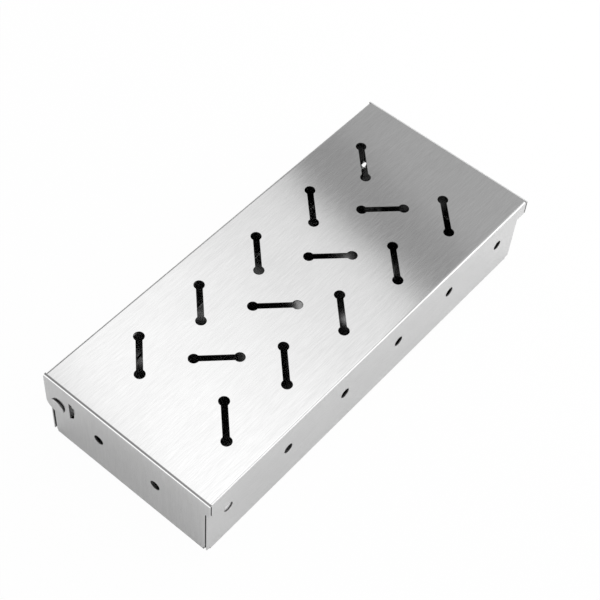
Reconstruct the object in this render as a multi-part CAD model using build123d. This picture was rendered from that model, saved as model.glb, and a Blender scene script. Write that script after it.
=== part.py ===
from build123d import *
import os

# Smoker box: a folded stainless tray, and a folded and slotted lid that turns on two pressed pivots.
# Origin under the middle of the lid on the resting plane, +X along the box, +Y to the hinge, +Z up.
# All lengths are in millimetres and all angles in degrees.

# Sheet and folds
sheet = 0.6
fold_inner_radius = 1.0
fold_radius = fold_inner_radius + sheet
overrun = 1.0

# Lid
lid_length = 233.6
lid_width = 100.0
overall_height = 46.0
flange_depth = 9.2
lid_corner_seam = 0.8

# Smoke slots in the lid, each a narrow slot with a round hole at both ends
slot_width = 3.25
slot_end_diameter = 5.4
slot_end_spacing = 20.8
slot_end_margin = 36.4
slot_row_margin = 24.0
slot_angle = 45
outer_slot_count = 5
middle_slot_count = 4
middle_slot_shift_x = 2.3
middle_slot_shift_y = -0.6

# Gaps between the closed lid and the tray
end_gap = 0.75
front_gap = 1.9
back_gap = 0.5
rim_gap = 0.3

# Tray
back_rim_drop = 1.7
rim_slope_length = 9.0
corner_relief = 2.4

# Corner flaps of the end walls, held inside the long walls by spot welds
flap_gap = 0.2
near_flap_reach = 18.5
far_flap_reach = 10.5
flap_lift = 2.7
flap_top_drop = 1.0
weld_diameter = 3.0
weld_height_shares = (0.25, 0.8)

# Vent holes in the tray walls
vent_diameter = 5.5
vent_height = 23.8
long_vent_margin = 14.6
long_vent_shift = -0.85
long_vent_count = 6
end_vent_margin = 30.8
end_vent_shift = 0.25
end_vent_count = 2

# Hinge ears of the lid
ear_width = 15.2
ear_tail = 6.5
ear_corner_radius = 4.8
ear_relief_width = 2.0
ear_relief_rise = 1.2

# Pivots pressed out of the tray's end walls, each open towards the front and top
pivot_drop = 17.3
pivot_hole_diameter = 8.4
pivot_clearance = 0.05
pivot_heel = 0.1
pivot_stand_out = 1.1
pivot_edge_radius = 0.35
pivot_opening_start = 60
pivot_opening_sweep = 120

# Window in each end wall in front of the pivot
window_reach = 8.9
window_fall = 5.6
window_rise = 8.2
window_top_radius = 1.5
window_bottom_radius = 4.0

# Places worked out from the sizes above
lid_half_length = lid_length / 2
lid_half_width = lid_width / 2
tray_half_length = lid_half_length - sheet - end_gap
tray_front = -lid_half_width + sheet + front_gap
tray_back = lid_half_width - sheet - back_gap
tray_width = tray_back - tray_front
tray_middle = (tray_back + tray_front) / 2
rim_height = overall_height - sheet - rim_gap
back_rim_height = rim_height - back_rim_drop
flap_inset = sheet + flap_gap
flap_fold_inset = flap_inset + fold_radius
pivot_y = lid_half_width - ear_width / 2
pivot_height = overall_height - pivot_drop
pivot_radius = pivot_hole_diameter / 2 - pivot_clearance
slot_span = lid_length - 2 * slot_end_margin
slot_pitch = slot_span / (outer_slot_count - 1)
slot_row_offset = lid_half_width - slot_row_margin
long_vent_span = 2 * (tray_half_length - long_vent_margin)
end_vent_span = tray_width - 2 * end_vent_margin

along_x = Vector(1, 0, 0)
along_y = Vector(0, 1, 0)
up = Vector(0, 0, 1)


def folded_edge(origin, outward, turned, depth, length):
    """A fold and the flat edge beyond it, centred on the fold line.

    origin is on the sheet's outer face where the fold starts, outward points away from the flat sheet
    and turned is the way the folded edge points. depth is measured from the outer face."""
    centre = (0, fold_radius)
    section = make_face(
        [
            CenterArc(centre, fold_radius, -90, 90),
            Polyline(
                (fold_radius, fold_radius),
                (fold_radius, depth),
                (fold_inner_radius, depth),
                (fold_inner_radius, fold_radius),
            ),
            CenterArc(centre, fold_inner_radius, -90, 90),
            Line((0, sheet), (0, 0)),
        ]
    )
    plane = Plane(origin, x_dir=outward, z_dir=outward.cross(turned))
    return extrude(plane * section, amount=length / 2, both=True)


def row_of(count, span):
    """Evenly spaced places about zero, from the first to the last over the span."""
    return [(index / (count - 1) - 0.5) * span for index in range(count)]


def smoke_slots():
    """All the slot cutters of the lid's top."""
    ends = [(-slot_end_spacing / 2, 0), (slot_end_spacing / 2, 0)]
    outline = Rectangle(slot_end_spacing, slot_width) + Locations(*ends) * Circle(slot_end_diameter / 2)
    cutter = extrude(outline, amount=sheet + overrun, both=True)
    places = []
    for x in row_of(outer_slot_count, slot_span):
        for y in (-slot_row_offset, slot_row_offset):
            places.append(Location((x, y, overall_height), (0, 0, slot_angle)))
    for x in row_of(middle_slot_count, slot_pitch * (middle_slot_count - 1)):
        centre = (x + middle_slot_shift_x, middle_slot_shift_y, overall_height)
        places.append(Location(centre, (0, 0, -slot_angle)))
    return [place * cutter for place in places]


def hinge_ear():
    """The ear of the far end flange, with its pivot hole."""
    bottom = pivot_height - ear_tail
    top = overall_height - fold_radius
    tab = Pos(0, (top + bottom) / 2 - pivot_height) * Rectangle(ear_width, top - bottom)
    tab = fillet(tab.vertices().sort_by(Axis.Y)[:2], ear_corner_radius)
    tab = tab - Circle(pivot_hole_diameter / 2)
    plane = Plane((lid_half_length - sheet, pivot_y, pivot_height), x_dir=along_y, z_dir=along_x)
    return extrude(plane * tab, amount=sheet)


def ear_relief():
    """Cutter for the small relief in the far end flange, beside the root of its ear."""
    height = ear_relief_rise + overrun
    centre_y = lid_half_width - ear_width - ear_relief_width / 2
    centre_z = overall_height - flange_depth + ear_relief_rise - height / 2
    block = Box(2 * (sheet + overrun), ear_relief_width, height)
    return Pos(lid_half_length, centre_y, centre_z) * block


def make_lid():
    """Top plate, four flanges, two hinge ears and the smoke slots."""
    flat_length = lid_length - 2 * fold_radius
    flat_width = lid_width - 2 * fold_radius
    top = Pos(0, 0, overall_height - sheet / 2) * Box(flat_length, flat_width, sheet)
    long_flange_length = lid_length - 2 * (sheet + lid_corner_seam)
    flanges = []
    for side in (-1, 1):
        long_fold = (0, side * flat_width / 2, overall_height)
        flanges.append(folded_edge(long_fold, along_y * side, -up, flange_depth, long_flange_length))
        end_fold = (side * flat_length / 2, 0, overall_height)
        flanges.append(folded_edge(end_fold, along_x * side, -up, flange_depth, lid_width))
    ear = hinge_ear()
    lid = top + flanges + [ear, mirror(ear, about=Plane.YZ)]
    relief = ear_relief()
    return lid - smoke_slots() - [relief, mirror(relief, about=Plane.YZ)]


def corner_flap(end, side):
    """One corner flap: folded in from an end wall, along the inside of a long wall."""
    reach = near_flap_reach if end < 0 else far_flap_reach
    wall_top = rim_height if side < 0 else back_rim_height
    wall_face = tray_front if side < 0 else tray_back
    flap_top = wall_top - flap_top_drop
    height = flap_top - flap_lift
    fold_y = wall_face - side * flap_fold_inset
    fold = (end * tray_half_length, fold_y, (flap_top + flap_lift) / 2)
    flap = folded_edge(fold, along_y * side, along_x * -end, reach, height)
    weld = Cylinder(weld_diameter / 2, flap_inset, rotation=(90, 0, 0))
    weld_x = end * (tray_half_length - (reach + fold_radius) / 2)
    weld_y = wall_face - side * (sheet + flap_inset) / 2
    welds = [Pos(weld_x, weld_y, flap_lift + share * height) * weld for share in weld_height_shares]
    return [flap] + welds


def vent_cutters():
    """Cutters for the vents of both long walls and both end walls, as deep as half the flap gap."""
    depth = 2 * (sheet + flap_gap / 2)
    vent = Cylinder(vent_diameter / 2, depth)
    cutters = []
    for x in row_of(long_vent_count, long_vent_span):
        for y in (tray_front, tray_back):
            cutters.append(Location((x + long_vent_shift, y, vent_height), (90, 0, 0)) * vent)
    for y in row_of(end_vent_count, end_vent_span):
        for x in (-tray_half_length, tray_half_length):
            centre = (x, tray_middle + end_vent_shift + y, vent_height)
            cutters.append(Location(centre, (0, 90, 0)) * vent)
    return cutters


def rim_slope_cutter():
    """Takes the rear top corners of the end walls down to the lower back rim."""
    slope_start = tray_back - rim_slope_length
    outline = Polygon(
        (slope_start, rim_height),
        (tray_back, back_rim_height),
        (tray_back + overrun, back_rim_height),
        (tray_back + overrun, rim_height + overrun),
        (slope_start, rim_height + overrun),
        align=None,
    )
    return extrude(Plane.YZ * outline, amount=tray_half_length + overrun, both=True)


def window_cutter():
    """The window in the far end wall, from its front edge to the middle of the pivot."""
    height = window_rise + window_fall
    outline = Pos(-window_reach / 2, (window_rise - window_fall) / 2) * Rectangle(window_reach, height)
    front_corners = outline.vertices().sort_by(Axis.X)[:2].sort_by(Axis.Y)
    outline = fillet(front_corners[0], window_bottom_radius)
    top_corner = outline.vertices().sort_by(Axis.Y)[-2:].sort_by(Axis.X)[0]
    outline = fillet(top_corner, window_top_radius)
    plane = Plane((tray_half_length, pivot_y, pivot_height), x_dir=along_y, z_dir=along_x)
    return extrude(plane * outline, amount=sheet + overrun, both=True)


def pivot_solids():
    """The far pivot's body, and what is hollow in it: its pocket and the opening in its side."""
    wall_inside = tray_half_length - sheet
    middle_stand_out = (pivot_stand_out + pivot_heel) / 2
    opening_middle = pivot_opening_start + pivot_opening_sweep / 2
    raised_side = along_y.rotate(Axis.X, opening_middle)
    rise = (pivot_stand_out - pivot_heel) / (2 * pivot_radius)
    cap_centre = (lid_half_length + middle_stand_out, pivot_y, pivot_height)
    cap = Plane(cap_centre, z_dir=along_x - raised_side * rise)
    base = Plane((wall_inside, pivot_y, pivot_height), x_dir=along_y, z_dir=along_x)
    room = lid_half_length + pivot_stand_out + overrun - wall_inside
    opening_edge = CenterArc((0, 0), pivot_radius, pivot_opening_start, pivot_opening_sweep)
    opening = make_face([Line((0, 0), opening_edge @ 0), opening_edge, Line(opening_edge @ 1, (0, 0))])
    body = split(extrude(base * Circle(pivot_radius), amount=room), cap, Keep.BOTTOM)
    body = fillet(body.faces().sort_by(Axis.X)[-1].edges(), pivot_edge_radius)
    hollow = extrude(base * Circle(pivot_radius - sheet), amount=room)
    hollow = hollow + extrude(base * opening, amount=room)
    hollow = split(hollow, cap.offset(-sheet), Keep.BOTTOM)
    return body, hollow


def make_tray():
    """Floor, walls, corner flaps, vents, windows and pivots."""
    flat_length = 2 * (tray_half_length - fold_radius)
    flat_width = tray_width - 2 * fold_radius
    tray = Pos(0, tray_middle, sheet / 2) * Box(flat_length, flat_width, sheet)
    long_length = 2 * tray_half_length
    end_length = tray_width - 2 * flap_fold_inset
    walls = []
    for side in (-1, 1):
        height = rim_height if side < 0 else back_rim_height
        long_fold = (0, tray_middle + side * flat_width / 2, 0)
        walls.append(folded_edge(long_fold, along_y * side, up, height, long_length))
        end_fold = (side * flat_length / 2, tray_middle, 0)
        walls.append(folded_edge(end_fold, along_x * side, up, rim_height, end_length))
        walls.extend(corner_flap(-1, side))
        walls.extend(corner_flap(1, side))
    tray = tray + walls
    relief = Box(2 * corner_relief, 2 * corner_relief, 2 * corner_relief)
    corners = [(x, y) for x in (-tray_half_length, tray_half_length) for y in (tray_front, tray_back)]
    tray = tray - [Pos(x, y, 0) * relief for x, y in corners]
    window = window_cutter()
    tray = tray - [rim_slope_cutter(), window, mirror(window, about=Plane.YZ)]
    tray = tray - vent_cutters()
    body, hollow = pivot_solids()
    tray = tray + [body, mirror(body, about=Plane.YZ)]
    return tray - [hollow, mirror(hollow, about=Plane.YZ)]


os.makedirs("parts", exist_ok=True)
export_step(make_tray(), "parts/tray.step")
export_step(make_lid(), "parts/lid.step")
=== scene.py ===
"""Looks of a folded stainless smoker box: a vented tray and a slotted lid that turns on pressed pivots."""

import logging
import math
from dataclasses import dataclass
from enum import Enum
from typing import Any, Iterator

import bmesh
import bpy
from mathutils import Matrix, Vector


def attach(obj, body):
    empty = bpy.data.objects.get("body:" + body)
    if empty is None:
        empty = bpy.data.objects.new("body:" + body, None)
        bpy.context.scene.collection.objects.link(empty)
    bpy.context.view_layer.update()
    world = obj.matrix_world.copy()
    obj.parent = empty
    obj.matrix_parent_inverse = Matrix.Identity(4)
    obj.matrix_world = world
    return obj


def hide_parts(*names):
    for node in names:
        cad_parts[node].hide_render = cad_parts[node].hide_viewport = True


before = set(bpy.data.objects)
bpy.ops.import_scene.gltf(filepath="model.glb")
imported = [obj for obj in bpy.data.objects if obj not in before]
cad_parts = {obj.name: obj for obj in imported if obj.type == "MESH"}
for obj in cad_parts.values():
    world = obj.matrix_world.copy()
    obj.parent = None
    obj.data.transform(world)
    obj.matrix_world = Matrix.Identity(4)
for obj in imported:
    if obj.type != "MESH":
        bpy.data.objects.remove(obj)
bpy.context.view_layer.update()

LOG = logging.getLogger("smoker_box")
MM = 0.001

Place = tuple[float, float, float]

# Nearly all noise falls between these two values.
NOISE_LOW = 0.25
NOISE_HIGH = 0.75


class SheetSide(Enum):
    """A surface of the folded sheet. The value is the place of its finish among a piece's finishes."""

    BRUSHED = 0
    # Inner faces, whose finish is darkened as painted shade.
    MILL = 1
    # Cut edges, whose dark colour is partly painted shade.
    SHEARED = 2
    # Faces deep in a corner seam, whose finish is painted shade.
    SEAM = 3
    # Faces of the flaps behind the front wall, whose lighter colour is painted light.
    FLAP = 4


class Opening(Enum):
    """Which way a folded box opens. The value is the way from its flat face to its open side."""

    UPWARD = 1
    DOWNWARD = -1


class Detail(Enum):
    """How rich noise is. The value is the number of its finer layers."""

    SMOOTH = 1.0
    PLAIN = 2.0
    FINE = 3.0


@dataclass
class NodeGraph:
    """A node tree while it is being filled.

    Args:
        tree: the node tree of a material, a lamp or the world.
    """

    tree: bpy.types.NodeTree

    def add(self, kind: str, **settings: Any) -> bpy.types.Node:
        """Adds a node.

        Args:
            kind: Blender's name of the node type.
            settings: properties of the node, set by name.

        Returns:
            The new node.
        """
        node = self.tree.nodes.new(kind)
        for name, value in settings.items():
            setattr(node, name, value)
        return node

    def feed(self, target: bpy.types.NodeSocket, source: Any) -> None:
        """Links a socket to an input, or sets the input to a plain value.

        Args:
            target: the input.
            source: a socket or a plain value.
        """
        if isinstance(source, bpy.types.NodeSocket):
            self.tree.links.new(source, target)
        else:
            target.default_value = source

    def math(self, operation: str, *terms: Any) -> bpy.types.NodeSocket:
        """Adds a math node.

        Args:
            operation: the operation's name.
            terms: numbers or sockets, in order.

        Returns:
            The result's socket.
        """
        node = self.add("ShaderNodeMath", operation=operation)
        for target, term in zip(node.inputs, terms):
            self.feed(target, term)
        return node.outputs[0]

    def vector(self, x: Any, y: Any, z: Any) -> bpy.types.NodeSocket:
        """Adds a vector made of three numbers or sockets.

        Args:
            x: the first part.
            y: the second part.
            z: the third part.

        Returns:
            The vector's socket.
        """
        node = self.add("ShaderNodeCombineXYZ")
        for target, term in zip(node.inputs, (x, y, z)):
            self.feed(target, term)
        return node.outputs[0]

    def grey(self, level: bpy.types.NodeSocket) -> bpy.types.NodeSocket:
        """Adds a grey of a level."""
        return self.vector(level, level, level)

    def parts(self, vector: bpy.types.NodeSocket) -> tuple[bpy.types.NodeSocket, ...]:
        """Adds a split of a vector into its three numbers.

        Args:
            vector: the vector's socket.

        Returns:
            The three sockets.
        """
        node = self.add("ShaderNodeSeparateXYZ")
        self.feed(node.inputs[0], vector)
        return tuple(node.outputs)

    def noise(self, place: bpy.types.NodeSocket, stretch: Place, detail: Detail) -> bpy.types.NodeSocket:
        """Adds noise that is stretched by lengths.

        Args:
            place: the place that it is read at.
            stretch: its size along each axis in metres.
            detail: how rich it is.

        Returns:
            A socket from zero to one.
        """
        scaled = self.add("ShaderNodeVectorMath", operation="DIVIDE")
        self.feed(scaled.inputs[0], place)
        self.feed(scaled.inputs[1], stretch)
        node = self.add("ShaderNodeTexNoise")
        self.feed(node.inputs["Vector"], scaled.outputs[0])
        self.feed(node.inputs["Scale"], 1.0)
        self.feed(node.inputs["Detail"], detail.value)
        return node.outputs[0]

    def around(self, noise: bpy.types.NodeSocket, middle: float, spread: float) -> bpy.types.NodeSocket:
        """Maps noise to a span about a middle value, clamped.

        Args:
            noise: a socket from zero to one.
            middle: the middle of the span.
            spread: how far the span reaches, each way.

        Returns:
            The mapped value's socket.
        """
        node = self.add("ShaderNodeMapRange")
        limits = (NOISE_LOW, NOISE_HIGH, middle - spread, middle + spread)
        for target, term in zip(node.inputs, (noise, *limits)):
            self.feed(target, term)
        return node.outputs[0]


@dataclass(frozen=True)
class SteelFinish:
    """A finish of bare steel.

    Args:
        name: the material's name.
    """

    name: str

    def material(self) -> bpy.types.Material:
        """Builds the material.

        Returns:
            The new material.
        """
        made = bpy.data.materials.new(self.name)
        made.use_nodes = True
        graph = NodeGraph(made.node_tree)
        shader = made.node_tree.nodes["Principled BSDF"]
        shader.inputs["Metallic"].default_value = 1.0
        self.work(graph, shader, graph.add("ShaderNodeTexCoord"))
        return made

    def work(self, graph: NodeGraph, shader: bpy.types.Node, coordinates: bpy.types.Node) -> None:
        """Gives the steel its colour, roughness and relief, in each finish's own way."""
        raise NotImplementedError


@dataclass(frozen=True)
class BrushedSteel(SteelFinish):
    """Brushed stainless face, with its grain along the blank, and so turned down at the ends.

    Args:
        tone: colour of the clean metal.
        roughness: middle roughness of the brushing.
        roughness_spread: how far the brush lines vary it, each way.
        anisotropy: how much the brushing draws reflections out across the grain.
        line_length: length of a brush line in metres.
        line_width: width of a brush line in metres.
        streak_length: length of a broad streak in metres.
        streak_width: width of a broad streak in metres.
        cloud_size: size of a faint cloudy patch in metres.
        line_shade: how far the brush lines vary the colour, each way.
        streak_shade: how far the broad streaks vary it, each way.
        cloud_shade: how far the patches vary it, each way.
        line_height: height of the brush lines in metres.
        wave_size: size of the sheet's slight waves in metres.
        wave_height: height of those waves in metres.
        turned: part of the normal from which a face counts as turned to an end or a side.
    """

    tone: float = 0.68
    roughness: float = 0.166
    roughness_spread: float = 0.012
    anisotropy: float = 0.8
    line_length: float = 7 * MM
    line_width: float = 0.45 * MM
    streak_length: float = 70 * MM
    streak_width: float = 1.6 * MM
    cloud_size: float = 24 * MM
    line_shade: float = 0.06
    streak_shade: float = 0.02
    cloud_shade: float = 0.02
    line_height: float = 0.0008 * MM
    wave_size: float = 55 * MM
    wave_height: float = 0.12 * MM
    turned: float = 0.7

    def work(self, graph: NodeGraph, shader: bpy.types.Node, coordinates: bpy.types.Node) -> None:
        """Gives the steel its brush lines, streaks, patches and slight waves.

        Args:
            graph: the material's graph.
            shader: the steel's shader.
            coordinates: the node that gives the place on the object.
        """
        shader.inputs["Anisotropic"].default_value = self.anisotropy
        place = coordinates.outputs["Object"]
        facing = graph.parts(coordinates.outputs["Normal"])
        on_end = graph.math("GREATER_THAN", graph.math("ABSOLUTE", facing[0]), self.turned)
        on_side = graph.math("GREATER_THAN", graph.math("ABSOLUTE", facing[1]), self.turned)
        line = self._drawn(graph, place, on_end, self.line_length, self.line_width, Detail.FINE)
        streak = self._drawn(graph, place, on_end, self.streak_length, self.streak_width, Detail.PLAIN)
        cloud = graph.noise(place, (self.cloud_size,) * 3, Detail.FINE)
        shade = graph.math("ADD", 1.0, graph.around(line, 0.0, self.line_shade))
        shade = graph.math("ADD", shade, graph.around(streak, 0.0, self.streak_shade))
        shade = graph.math("ADD", shade, graph.around(cloud, 0.0, self.cloud_shade))
        graph.feed(shader.inputs["Base Color"], graph.grey(graph.math("MULTIPLY", shade, self.tone)))
        graph.feed(shader.inputs["Roughness"], graph.around(line, self.roughness, self.roughness_spread))
        graph.feed(shader.inputs["Normal"], self._relief(graph, place, line))
        graph.feed(shader.inputs["Tangent"], self._across_grain(graph, on_side))

    def _drawn(self, graph: NodeGraph, place: bpy.types.NodeSocket, on_end: bpy.types.NodeSocket,
               length: float, width: float, detail: Detail) -> bpy.types.NodeSocket:
        """Noise drawn out along the grain.

        Args:
            graph: the material's graph.
            place: the place in the object's frame.
            on_end: one on the end faces, and zero elsewhere.
            length: length of a line in metres.
            width: width of a line in metres.
            detail: how rich it is.

        Returns:
            A socket from zero to one.
        """
        lying = graph.noise(place, (length, width, width), detail)
        upright = graph.noise(place, (width, width, length), detail)
        mixed = graph.add("ShaderNodeMix", data_type="FLOAT")
        graph.feed(mixed.inputs["Factor"], on_end)
        graph.feed(mixed.inputs["A"], lying)
        graph.feed(mixed.inputs["B"], upright)
        return mixed.outputs["Result"]

    def _relief(self, graph: NodeGraph, place: bpy.types.NodeSocket,
                line: bpy.types.NodeSocket) -> bpy.types.NodeSocket:
        """The brush lines' relief, over the slight waves of the sheet.

        Args:
            graph: the material's graph.
            place: the place in the object's frame.
            line: the brush lines.

        Returns:
            The normal's socket.
        """
        wave = graph.add("ShaderNodeBump")
        graph.feed(wave.inputs["Distance"], self.wave_height)
        graph.feed(wave.inputs["Height"], graph.noise(place, (self.wave_size,) * 3, Detail.SMOOTH))
        lines = graph.add("ShaderNodeBump")
        graph.feed(lines.inputs["Distance"], self.line_height)
        graph.feed(lines.inputs["Height"], line)
        graph.feed(lines.inputs["Normal"], wave.outputs[0])
        return lines.outputs[0]

    def _across_grain(self, graph: NodeGraph, on_side: bpy.types.NodeSocket) -> bpy.types.NodeSocket:
        """The way across the grain, which is up on the long sides and along Y elsewhere.

        Args:
            graph: the material's graph.
            on_side: one on the long sides, and zero elsewhere.

        Returns:
            The tangent's socket.
        """
        across = graph.vector(0.0, graph.math("SUBTRACT", 1.0, on_side), on_side)
        turned = graph.add("ShaderNodeVectorTransform", vector_type="VECTOR", convert_from="OBJECT",
                           convert_to="WORLD")
        graph.feed(turned.inputs[0], across)
        return turned.outputs[0]


@dataclass(frozen=True)
class MillSteelPaintedDark(SteelFinish):
    """The smooth, cold-rolled back of the sheet, in a colour darker than clean mill-finished steel:
    painted shade that keeps the inside of the box dark.

    Args:
        tone: colour, darker than the clean metal as painted shade.
        roughness: middle roughness.
        roughness_spread: how far patches vary it, each way.
        mark_length: length of a rolling mark in metres.
        mark_width: width of a rolling mark in metres.
        mark_shade: share by which the marks vary the colour, each way.
        cloud_size: size of a hazy patch in metres.
    """

    # Darker than clean mill-finished steel: painted shade for the box's inside.
    tone: float = 0.36
    roughness: float = 0.14
    roughness_spread: float = 0.02
    mark_length: float = 90 * MM
    mark_width: float = 1.2 * MM
    mark_shade: float = 0.05
    cloud_size: float = 18 * MM

    def work(self, graph: NodeGraph, shader: bpy.types.Node, coordinates: bpy.types.Node) -> None:
        """Gives the steel its rolling marks and hazy patches.

        Args:
            graph: the material's graph.
            shader: the steel's shader.
            coordinates: the node that gives the place on the object.
        """
        place = coordinates.outputs["Object"]
        mark = graph.noise(place, (self.mark_length, self.mark_width, self.mark_width), Detail.PLAIN)
        cloud = graph.noise(place, (self.cloud_size,) * 3, Detail.FINE)
        level = graph.around(mark, self.tone, self.tone * self.mark_shade)
        graph.feed(shader.inputs["Base Color"], graph.grey(level))
        graph.feed(shader.inputs["Roughness"], graph.around(cloud, self.roughness, self.roughness_spread))


@dataclass(frozen=True)
class ShearedSteelPaintedDark(SteelFinish):
    """A cut edge of the sheet, duller than its faces, in a dark colour that is painted shade on the walls
    of the slots and holes.

    Args:
        tone: colour of the cut metal, made dark as painted shade.
        roughness: middle roughness.
        roughness_spread: how far the torn grain varies it, each way.
        tear_size: size of the torn grain in metres.
        tear_shade: share by which the torn grain varies the colour, each way.
        tear_height: depth of the torn grain in metres.
    """

    # Dark cut edges: painted shade inside the slots and holes.
    tone: float = 0.18
    roughness: float = 0.5
    roughness_spread: float = 0.05
    tear_size: float = 0.35 * MM
    tear_shade: float = 0.2
    tear_height: float = 0.02 * MM

    def work(self, graph: NodeGraph, shader: bpy.types.Node, coordinates: bpy.types.Node) -> None:
        """Gives the steel its torn grain.

        Args:
            graph: the material's graph.
            shader: the steel's shader.
            coordinates: the node that gives the place on the object.
        """
        tear = graph.noise(coordinates.outputs["Object"], (self.tear_size,) * 3, Detail.PLAIN)
        level = graph.around(tear, self.tone, self.tone * self.tear_shade)
        graph.feed(shader.inputs["Base Color"], graph.grey(level))
        graph.feed(shader.inputs["Roughness"], graph.around(tear, self.roughness, self.roughness_spread))
        relief = graph.add("ShaderNodeBump")
        graph.feed(relief.inputs["Distance"], self.tear_height)
        graph.feed(relief.inputs["Height"], tear)
        graph.feed(shader.inputs["Normal"], relief.outputs[0])


@dataclass(frozen=True)
class PaintedSeamShade(SteelFinish):
    """Painted shade: a near-black, dull, unbrushed colour on the faces deep in a narrow corner seam, where
    shade falls.

    Args:
        tone: middle colour, near black as painted shade.
        tone_spread: how far patches vary it, each way.
        roughness: how dull it is.
        patch_size: size of a patch in metres.
    """

    # Near black: painted shade in the seam.
    tone: float = 0.03
    tone_spread: float = 0.012
    roughness: float = 0.5
    patch_size: float = 4 * MM

    def work(self, graph: NodeGraph, shader: bpy.types.Node, coordinates: bpy.types.Node) -> None:
        """Gives the steel its patches.

        Args:
            graph: the material's graph.
            shader: the steel's shader.
            coordinates: the node that gives the place on the object.
        """
        shader.inputs["Roughness"].default_value = self.roughness
        patch = graph.noise(coordinates.outputs["Object"], (self.patch_size,) * 3, Detail.PLAIN)
        level = graph.around(patch, self.tone, self.tone_spread)
        graph.feed(shader.inputs["Base Color"], graph.grey(level))


@dataclass(frozen=True)
class FlapSteelPaintedLight(PaintedSeamShade):
    """Dull, rough face of a flap welded behind a wall, in a colour lighter than the clean metal: painted
    light, so that the flap looks lit through the vents.
    """

    # Lighter than the clean metal: painted light on the flap.
    tone: float = 0.86
    tone_spread: float = 0.06
    roughness: float = 0.85
    patch_size: float = 1.5 * MM


@dataclass(frozen=True)
class FoldedSkin:
    """The outer skin of a box folded from one sheet, from which the sheet's surfaces are told apart.

    Args:
        half_length: from the middle to the outside of an end in metres.
        front: the outside of the front in metres.
        back: the outside of the back in metres.
        flat: height of the outside of the flat face in metres.
        opening: the way in which the box opens.
        fold_radius: outer radius of the folds in metres.
        sheet: thickness of the sheet in metres.
        reach: how many thicknesses under the skin a face still belongs to the sheet there.
        facing: part of the normal along the way out from which a face is outer or inner, and not an edge.
    """

    half_length: float
    front: float
    back: float
    flat: float
    opening: Opening
    fold_radius: float = 1.6 * MM
    sheet: float = 0.6 * MM
    reach: float = 1.5
    facing: float = 0.35

    def depths(self, point: Vector) -> Iterator[tuple[float, Vector]]:
        """Measures a point from the skin of the ends, and from the skin of the long sides.

        Args:
            point: a place in metres.

        Yields:
            How deep the point is under that skin, and the way out there.
        """
        rise = (point.z - self.flat) * self.opening.value
        middle = (self.front + self.back) / 2
        half_width = (self.back - self.front) / 2
        aside = point.y - middle
        runs = (
            (self.half_length - abs(point.x), Vector((math.copysign(1.0, point.x), 0.0, 0.0))),
            (half_width - abs(aside), Vector((0.0, math.copysign(1.0, aside), 0.0))),
        )
        down = Vector((0.0, 0.0, -self.opening.value))
        for inset, outward in runs:
            if rise >= self.fold_radius:
                yield inset, outward
            elif inset >= self.fold_radius:
                yield rise, down
            else:
                arm = outward * (self.fold_radius - inset) + down * (self.fold_radius - rise)
                yield self.fold_radius - arm.length, arm.normalized()

    def side_of(self, centre: Vector, normal: Vector) -> SheetSide:
        """Tells which surface of the sheet a face is on.

        Args:
            centre: middle of the face.
            normal: the way in which the face looks.

        Returns:
            The surface.
        """
        deepest = self.reach * self.sheet
        looks = [normal.dot(outward) for depth, outward in self.depths(centre) if depth < deepest]
        if not looks:
            return SheetSide.MILL
        if max(looks) > self.facing:
            return SheetSide.BRUSHED
        if min(looks) < -self.facing:
            return SheetSide.MILL
        return SheetSide.SHEARED


@dataclass
class SheetPiece:
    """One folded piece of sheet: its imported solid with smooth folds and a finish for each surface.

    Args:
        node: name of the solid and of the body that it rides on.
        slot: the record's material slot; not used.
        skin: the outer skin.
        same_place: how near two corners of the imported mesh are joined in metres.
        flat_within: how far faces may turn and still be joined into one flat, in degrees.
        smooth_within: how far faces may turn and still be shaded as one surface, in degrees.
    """

    node: str
    slot: str
    skin: FoldedSkin
    same_place: float = 0.0005 * MM
    flat_within: float = 0.5
    smooth_within: float = 32.0

    def build(self) -> bpy.types.Object:
        """Makes the piece and puts it in the solid's place.

        Returns:
            The piece's object.
        """
        shape = bmesh.new()
        shape.from_mesh(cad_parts[self.node].data)
        bmesh.ops.remove_doubles(shape, verts=shape.verts, dist=self.same_place)
        flat = math.radians(self.flat_within)
        bmesh.ops.dissolve_limit(shape, angle_limit=flat, verts=shape.verts, edges=shape.edges)
        shape.normal_update()
        for face in shape.faces:
            face.smooth = True
            face.material_index = self.side_of(face).value
        mesh = bpy.data.meshes.new(f"{self.node}_sheet")
        shape.to_mesh(mesh)
        shape.free()
        mesh.set_sharp_from_angle(angle=math.radians(self.smooth_within))
        piece = bpy.data.objects.new(f"{self.node}_sheet", mesh)
        bpy.context.scene.collection.objects.link(piece)
        even = piece.modifiers.new("even_flats", "WEIGHTED_NORMAL")
        even.keep_sharp = True
        self.dress(piece)
        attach(piece, self.node)
        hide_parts(self.node)
        return piece

    def dress(self, piece: bpy.types.Object) -> None:
        """Gives the piece its finishes."""
        for finish in self.finishes():
            piece.data.materials.append(finish.material())

    def finishes(self) -> list[SteelFinish]:
        """Lists the piece's finishes.

        Returns:
            The finishes, in the order of SheetSide.
        """
        return [
            BrushedSteel(f"{self.node}_brushed_face"),
            MillSteelPaintedDark(f"{self.node}_mill_face_painted_dark"),
            ShearedSteelPaintedDark(f"{self.node}_sheared_edge_painted_dark"),
            PaintedSeamShade(f"{self.node}_seam_painted_shade"),
        ]

    def side_of(self, face: bmesh.types.BMFace) -> SheetSide:
        """Tells which surface of the sheet a face is on.

        Args:
            face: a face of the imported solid.

        Returns:
            The surface.
        """
        centre = face.calc_center_median()
        # Faces in a seam get the near-black painted shade.
        if self.takes_painted_seam_shade(centre, face.normal):
            return SheetSide.SEAM
        return self.skin.side_of(centre, face.normal)

    def takes_painted_seam_shade(self, centre: Vector, normal: Vector) -> bool:
        """Tells whether a face lies in a narrow corner seam and gets the painted seam shade, in each
        piece's own way.
        """
        raise NotImplementedError


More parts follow.
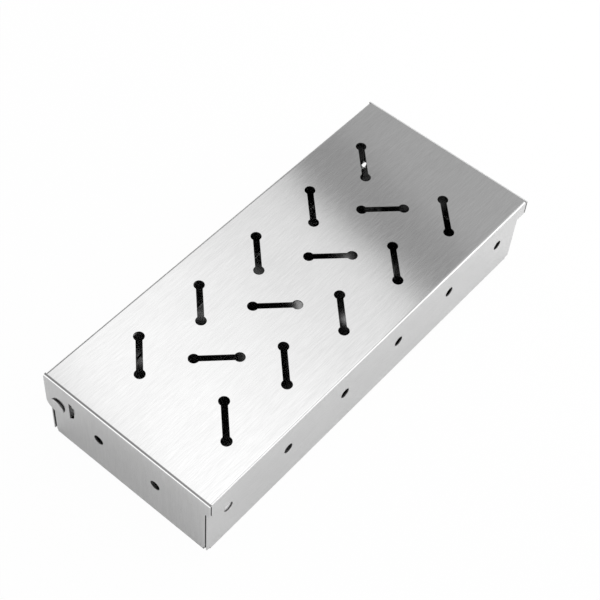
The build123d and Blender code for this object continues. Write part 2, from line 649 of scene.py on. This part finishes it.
@dataclass
class Tray(SheetPiece):
    """The tray, with flaps folded in behind its long walls at the corners.

    Args:
        seam_depth: how deep under a long wall's face the flaps' folds reach in metres.
        seam_turn: how far a front flap's fold has turned where the painted seam shade starts, in degrees.
        flap_depth: how deep under the front wall's face a flap's own face lies at most in metres.
        flap_facing: part of the normal towards the front from which a face is the flap's face.
    """

    node: str = "tray"
    slot: str = "tray_sheet"
    skin: FoldedSkin = FoldedSkin(115.45 * MM, -47.5 * MM, 48.9 * MM, 0.0, Opening.UPWARD)
    seam_depth: float = 2.6 * MM
    seam_turn: float = 30.0
    flap_depth: float = 0.9 * MM
    flap_facing: float = 0.9

    def finishes(self) -> list[SteelFinish]:
        """Lists the piece's finishes, with the flaps' own one last."""
        return super().finishes() + [FlapSteelPaintedLight(f"{self.node}_flap_face_painted_light")]

    def side_of(self, face: bmesh.types.BMFace) -> SheetSide:
        """Tells which surface of the sheet a face is on, where the back corners lie open and are brushed.

        Args:
            face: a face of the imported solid.

        Returns:
            The surface.
        """
        centre = face.calc_center_median()
        if self.at_end(centre) and centre.y > self.skin.back - self.seam_depth:
            return SheetSide.BRUSHED
        if self.on_flap(centre, face.normal):
            return SheetSide.FLAP
        return super().side_of(face)

    def takes_painted_seam_shade(self, centre: Vector, normal: Vector) -> bool:
        """Tells whether a face is on the turned-in part of a front corner flap's fold, which gets the
        painted seam shade.

        Args:
            centre: middle of the face.
            normal: the way in which the face looks.

        Returns:
            True where it is.
        """
        depth = centre.y - self.skin.front
        if not self.at_end(centre) or not self.skin.sheet < depth < self.seam_depth:
            return False
        return -normal.y > math.sin(math.radians(self.seam_turn)) and abs(normal.z) < -normal.y

    def on_flap(self, centre: Vector, normal: Vector) -> bool:
        """Tells whether a face is the face of a flap that lies behind the front wall, which gets painted
        light.
        """
        depth = centre.y - self.skin.front
        return self.skin.sheet < depth < self.flap_depth and -normal.y > self.flap_facing

    def at_end(self, centre: Vector) -> bool:
        """Tells whether a place is within a fold's radius of an end's outside."""
        return self.skin.half_length - abs(centre.x) < self.skin.fold_radius


@dataclass
class Lid(SheetPiece):
    """The lid, with an open seam between its flanges at each corner, whose flange ends get painted shade.

    Args:
        flange_end: from the middle to the cut end of a long flange in metres.
        seam_width: how wide the zone about that end is in metres.
        seam_facing: part of the normal towards the end from which a face is the cut end.
    """

    node: str = "lid"
    slot: str = "lid_sheet"
    skin: FoldedSkin = FoldedSkin(116.8 * MM, -50 * MM, 50 * MM, 46 * MM, Opening.DOWNWARD)
    flange_end: float = 115.4 * MM
    seam_width: float = 0.1 * MM
    seam_facing: float = 0.9

    def takes_painted_seam_shade(self, centre: Vector, normal: Vector) -> bool:
        """Tells whether a face is the cut end of a long flange, which gets the painted seam shade."""
        beside_end_flange = abs(abs(centre.x) - self.flange_end) < self.seam_width
        return beside_end_flange and normal.x * centre.x > self.seam_facing * abs(centre.x)


@dataclass
class Softbox:
    """A square-cornered studio lamp that the camera doesn't see.

    Args:
        name: the lamp's name.
        centre: middle of its face in metres.
        aim: point that it faces.
        width: size across in metres.
        height: size up in metres.
        radiance: brightness of its face, where one is white.
        turn: turn about its own axis in degrees.
        fade: its brightness across its width, in pairs: a share of the width and a share of the radiance.
    """

    name: str
    centre: Place
    aim: Place
    width: float
    height: float
    radiance: float
    turn: float = 0.0
    fade: tuple[tuple[float, float], ...] = ()

    def hang(self) -> bpy.types.Object:
        """Makes the lamp.

        Returns:
            The lamp's object.
        """
        lamp = bpy.data.lights.new(self.name, "AREA")
        lamp.shape = "RECTANGLE"
        lamp.size = self.width
        lamp.size_y = self.height
        lamp.energy = self.radiance * math.pi * self.width * self.height
        if self.fade:
            self._shade(lamp)
        hung = bpy.data.objects.new(self.name, lamp)
        back = (Vector(self.centre) - Vector(self.aim)).normalized()
        spin = Matrix.Rotation(math.radians(self.turn), 3, "Z")
        hung.rotation_euler = (back.to_track_quat("Z", "Y").to_matrix() @ spin).to_euler()
        hung.location = self.centre
        hung.visible_camera = False
        bpy.context.scene.collection.objects.link(hung)
        LOG.info("%s hung", self.name)
        return hung

    def _shade(self, lamp: bpy.types.AreaLight) -> None:
        """Fades the lamp's face across its width.

        Args:
            lamp: the lamp.
        """
        lamp.use_nodes = True
        graph = NodeGraph(lamp.node_tree)
        run = graph.parts(graph.add("ShaderNodeNewGeometry").outputs["Parametric"])[0]
        ramp = graph.add("ShaderNodeFloatCurve")
        curve = ramp.mapping.curves[0]
        curve.points[0].location = self.fade[0]
        curve.points[1].location = self.fade[-1]
        for share in self.fade[1:-1]:
            curve.points.new(*share)
        for point in curve.points:
            point.handle_type = "VECTOR"
        ramp.mapping.update()
        graph.feed(ramp.inputs["Value"], graph.math("SUBTRACT", 1.0, run))
        graph.feed(lamp.node_tree.nodes["Emission"].inputs["Strength"], ramp.outputs[0])


@dataclass(frozen=True)
class Glow:
    """A soft bright patch of the studio's surround, far from the box.

    Args:
        azimuth: its direction in degrees from +X towards +Y.
        elevation: its height in degrees.
        radiance: brightness of its middle, where one is white.
        tightness: how fast it fades outwards.
    """

    azimuth: float
    elevation: float
    radiance: float
    tightness: float = 10.0

    def light(self, graph: NodeGraph, way: bpy.types.NodeSocket) -> bpy.types.NodeSocket:
        """Brightness of the patch in a direction.

        Args:
            graph: the surround's graph.
            way: the direction.

        Returns:
            The brightness.
        """
        level = math.cos(math.radians(self.elevation))
        turn = math.radians(self.azimuth)
        middle = (level * math.cos(turn), level * math.sin(turn), math.sin(math.radians(self.elevation)))
        nearness = graph.add("ShaderNodeVectorMath", operation="DOT_PRODUCT")
        graph.feed(nearness.inputs[0], way)
        graph.feed(nearness.inputs[1], middle)
        apart = graph.math("SUBTRACT", nearness.outputs["Value"], 1.0)
        fall = graph.math("MULTIPLY", apart, self.tightness)
        return graph.math("MULTIPLY", graph.math("EXPONENT", fall), self.radiance)


@dataclass
class ViewCamera:
    """The camera of the picture, placed round the origin of the box.

    Args:
        azimuth: direction in degrees, where zero looks along +Y.
        elevation: height in degrees.
        distance: distance from the origin in metres.
        roll: roll in degrees.
        focal_pixels: focal length in pixels of the frame.
        centre_x: pixel column of the optical axis.
        centre_y: pixel row of the optical axis.
        frame_pixels: width and height of the frame in pixels.
        sensor: width of the sensor in millimetres.
        nearest: nearest distance that it shows in metres.
    """

    azimuth: float = -53.733
    elevation: float = 54.192
    distance: float = 0.7172
    roll: float = 5.1985
    focal_pixels: float = 1449.05
    centre_x: float = 293.85
    centre_y: float = 339.63
    frame_pixels: float = 600.0
    sensor: float = 36.0
    nearest: float = 0.01

    def place(self) -> bpy.types.Object:
        """Makes the camera and puts it to use.

        Returns:
            The camera's object.
        """
        lens = bpy.data.cameras.new("view_camera")
        lens.sensor_fit = "HORIZONTAL"
        lens.sensor_width = self.sensor
        lens.lens = self.focal_pixels / self.frame_pixels * self.sensor
        lens.shift_x = (self.frame_pixels / 2 - self.centre_x) / self.frame_pixels
        lens.shift_y = (self.centre_y - self.frame_pixels / 2) / self.frame_pixels
        lens.clip_start = self.nearest
        camera = bpy.data.objects.new("view_camera", lens)
        turn = math.radians(self.azimuth)
        rise = math.radians(self.elevation)
        level = math.cos(rise)
        back = Vector((math.sin(turn) * level, -math.cos(turn) * level, math.sin(rise)))
        right = Vector((math.cos(turn), math.sin(turn), 0.0))
        axes = Matrix((right, back.cross(right), back)).transposed()
        spin = Matrix.Rotation(math.radians(self.roll), 3, "Z")
        camera.matrix_world = Matrix.Translation(back * self.distance) @ (axes @ spin).to_4x4()
        bpy.context.scene.collection.objects.link(camera)
        bpy.context.scene.camera = camera
        return camera


@dataclass
class Studio:
    """Floor, surround and lamps.

    Args:
        floor_size: width of the floor in metres.
        floor_drop: how far the floor lies under the box in metres.
        floor_tone: colour of the floor.
        floor_shown: share of plain white in what the camera sees of the floor.
        floor_mirrored: share of plain white in what the metal mirrors of the floor.
        surround: brightness of the surround between its bright patches.
        overhead: middle of the overhead lamp in metres.
        overhead_turn: turn of the overhead lamps in degrees.
        overhead_fade: the overhead lamp's fade from its far end to its near end.
        beside: middle of the far lamp, next to the overhead one, in metres.
        lit_floor: point of the floor in front of the box that the lower lamps face.
    """

    floor_size: float = 6.0
    floor_drop: float = 0.3 * MM
    floor_tone: float = 0.82
    floor_shown: float = 0.97
    floor_mirrored: float = 0.06
    surround: float = 0.19
    overhead: Place = (0.1559, 0.2488, 0.60)
    overhead_turn: float = -11.2
    overhead_fade: tuple[tuple[float, float], ...] = (
        (0.0, 0.06), (0.17, 0.12), (0.3, 0.4), (0.44, 0.93),
        (0.57, 0.94), (0.7, 0.85), (0.83, 0.7), (1.0, 0.66),
    )
    beside: Place = (0.5905, 0.1628, 0.60)
    lit_floor: Place = (0.06, -0.05, 0.0)

    def build(self) -> None:
        """Sets the floor, the surround and the lamps."""
        bpy.context.scene.view_settings.view_transform = "Standard"
        self._floor()
        self._surround()
        for lamp in self._lamps():
            lamp.hang()

    def _floor(self) -> bpy.types.Object:
        """Lays a wide pale floor under the box.

        Returns:
            The floor's object.
        """
        half = self.floor_size / 2
        corners = [(-half, -half, 0.0), (half, -half, 0.0), (half, half, 0.0), (-half, half, 0.0)]
        sheet = bpy.data.meshes.new("floor")
        sheet.from_pydata(corners, [], [(0, 1, 2, 3)])
        sheet.materials.append(self._paper())
        floor = bpy.data.objects.new("floor", sheet)
        floor.location.z = -self.floor_drop
        bpy.context.scene.collection.objects.link(floor)
        return floor

    def _paper(self) -> bpy.types.Material:
        """Makes the floor's paper, which is nearly white to the camera and keeps the box's shadow.

        Returns:
            The new material.
        """
        paper = bpy.data.materials.new("pale_paper")
        paper.use_nodes = True
        graph = NodeGraph(paper.node_tree)
        paper.node_tree.nodes.clear()
        matt = graph.add("ShaderNodeBsdfDiffuse")
        graph.feed(matt.inputs["Color"], (self.floor_tone, self.floor_tone, self.floor_tone, 1.0))
        white = graph.add("ShaderNodeEmission")
        path = graph.add("ShaderNodeLightPath")
        seen = graph.math("MULTIPLY", path.outputs["Is Camera Ray"], self.floor_shown)
        mirrored = graph.math("MULTIPLY", path.outputs["Is Glossy Ray"], self.floor_mirrored)
        blend = graph.add("ShaderNodeMixShader")
        graph.feed(blend.inputs[0], graph.math("MAXIMUM", seen, mirrored))
        graph.feed(blend.inputs[1], matt.outputs[0])
        graph.feed(blend.inputs[2], white.outputs[0])
        out = graph.add("ShaderNodeOutputMaterial")
        graph.feed(out.inputs["Surface"], blend.outputs[0])
        return paper

    def _surround(self) -> None:
        """Makes the surround white to the camera, and a grey with bright patches for the box."""
        world = bpy.data.worlds.new("surround")
        bpy.context.scene.world = world
        world.use_nodes = True
        graph = NodeGraph(world.node_tree)
        world.node_tree.nodes.clear()
        path = graph.add("ShaderNodeLightPath")
        grey = graph.add("ShaderNodeBackground")
        graph.feed(grey.inputs["Color"], (1.0, 1.0, 1.0, 1.0))
        graph.feed(grey.inputs["Strength"], self._surround_light(graph))
        white = graph.add("ShaderNodeBackground")
        graph.feed(white.inputs["Color"], (1.0, 1.0, 1.0, 1.0))
        blend = graph.add("ShaderNodeMixShader")
        graph.feed(blend.inputs[0], path.outputs["Is Camera Ray"])
        graph.feed(blend.inputs[1], grey.outputs[0])
        graph.feed(blend.inputs[2], white.outputs[0])
        out = graph.add("ShaderNodeOutputWorld")
        graph.feed(out.inputs["Surface"], blend.outputs[0])

    def _surround_light(self, graph: NodeGraph) -> bpy.types.NodeSocket:
        """Brightness of the surround by direction.

        Args:
            graph: the surround's graph.

        Returns:
            The brightness.
        """
        way = graph.add("ShaderNodeTexCoord").outputs["Generated"]
        total = self.surround
        for glow in self._glows():
            total = graph.math("ADD", total, glow.light(graph, way))
        return total

    def _glows(self) -> list[Glow]:
        """Lists the bright patches of the surround.

        Returns:
            Those behind the box, those above it, and those in front of it.
        """
        return [
            Glow(azimuth=152, elevation=16, radiance=1.5, tightness=20.0),
            Glow(azimuth=165, elevation=4, radiance=0.9, tightness=30.0),
            Glow(azimuth=115, elevation=2, radiance=1.2, tightness=20.0),
            Glow(azimuth=42, elevation=14, radiance=0.5, tightness=20.0),
            Glow(azimuth=45, elevation=58, radiance=0.13),
            Glow(azimuth=225, elevation=58, radiance=1.0),
            Glow(azimuth=275, elevation=58, radiance=0.8),
            Glow(azimuth=290, elevation=76, radiance=0.45, tightness=14.0),
            Glow(azimuth=0, elevation=76, radiance=0.25, tightness=14.0),
            Glow(azimuth=270, elevation=8, radiance=0.85),
            Glow(azimuth=315, elevation=8, radiance=1.4),
        ]

    def _lamps(self) -> list[Softbox]:
        """Lists the lamps.

        Returns:
            The overhead lamps, which the lid mirrors, and the lower ones, which light the floor.
        """
        turn = self.overhead_turn
        fade = self.overhead_fade
        lit = self.lit_floor
        return [
            Softbox("overhead_softbox", self.overhead, self._under(self.overhead),
                    width=0.538, height=1.0, radiance=1.05, turn=turn, fade=fade),
            Softbox("far_softbox", self.beside, self._under(self.beside),
                    width=0.2, height=1.0, radiance=0.16, turn=turn),
            Softbox("front_softbox", (0.25, -0.6, 0.32), lit, width=0.5, height=0.5, radiance=0.45),
            Softbox("right_softbox", (0.75, 0.0, 0.29), lit, width=0.8, height=0.44, radiance=0.74),
            Softbox("low_card", (0.3, -0.25, 0.13), lit, width=0.18, height=0.18, radiance=0.65),
            Softbox("low_right_card", (0.4, -0.12, 0.16), lit, width=0.24, height=0.24, radiance=1.5),
        ]

    @staticmethod
    def _under(place: Place) -> Place:
        """Gives the point straight under a place, at the height of the box's foot."""
        return (place[0], place[1], 0.0)


def main() -> None:
    """Dresses the box and sets up the studio."""
    logging.basicConfig(level=logging.INFO)
    for piece in (Tray(), Lid()):
        made = piece.build()
        LOG.info("%s: %d faces", made.name, len(made.data.polygons))
    Studio().build()
    ViewCamera().place()


if __name__ == "__main__":
    main()
